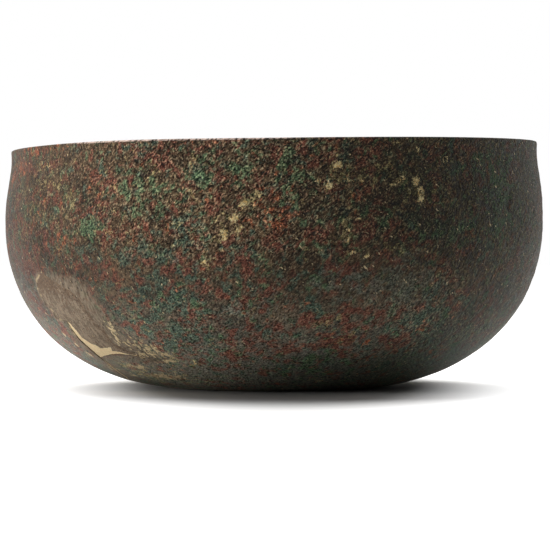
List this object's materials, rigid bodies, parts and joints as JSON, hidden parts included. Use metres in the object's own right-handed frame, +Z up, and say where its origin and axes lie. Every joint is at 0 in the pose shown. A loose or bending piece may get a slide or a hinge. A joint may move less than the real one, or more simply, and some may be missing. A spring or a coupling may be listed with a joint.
{
  "type": "bronze bowl",
  "caption": "Deep round-bottomed raised bronze bowl with a small flat base and a plain, slightly drawn-in mouth, mended low on one side.",
  "frame": {"origin": "centre of the flat base, on the surface that the bowl rests on", "axes": "+Z up through the mouth; -Y towards the side seen in the picture, with the mend low on its left; +X to the right"},
  "size_m": [0.2692, 0.2678, 0.1232],
  "materials": {
    "patinated_bronze": "dark brown bronze patina mottled with red-brown and green corrosion, rough and finely pitted, with pale tan deposits",
    "toned_filler": "resin and plaster filler, painted grey-brown to match the metal, bare tan along the crack",
    "bare_filler": "bare tan resin and plaster filler, matt"
  },
  "bodies": {
    "root": {"bowl_body": "patinated_bronze", "side_sherd": "patinated_bronze", "base_sherd": "patinated_bronze", "break_filler": "toned_filler", "crack_filler": "bare_filler"}
  },
  "joints": []
}
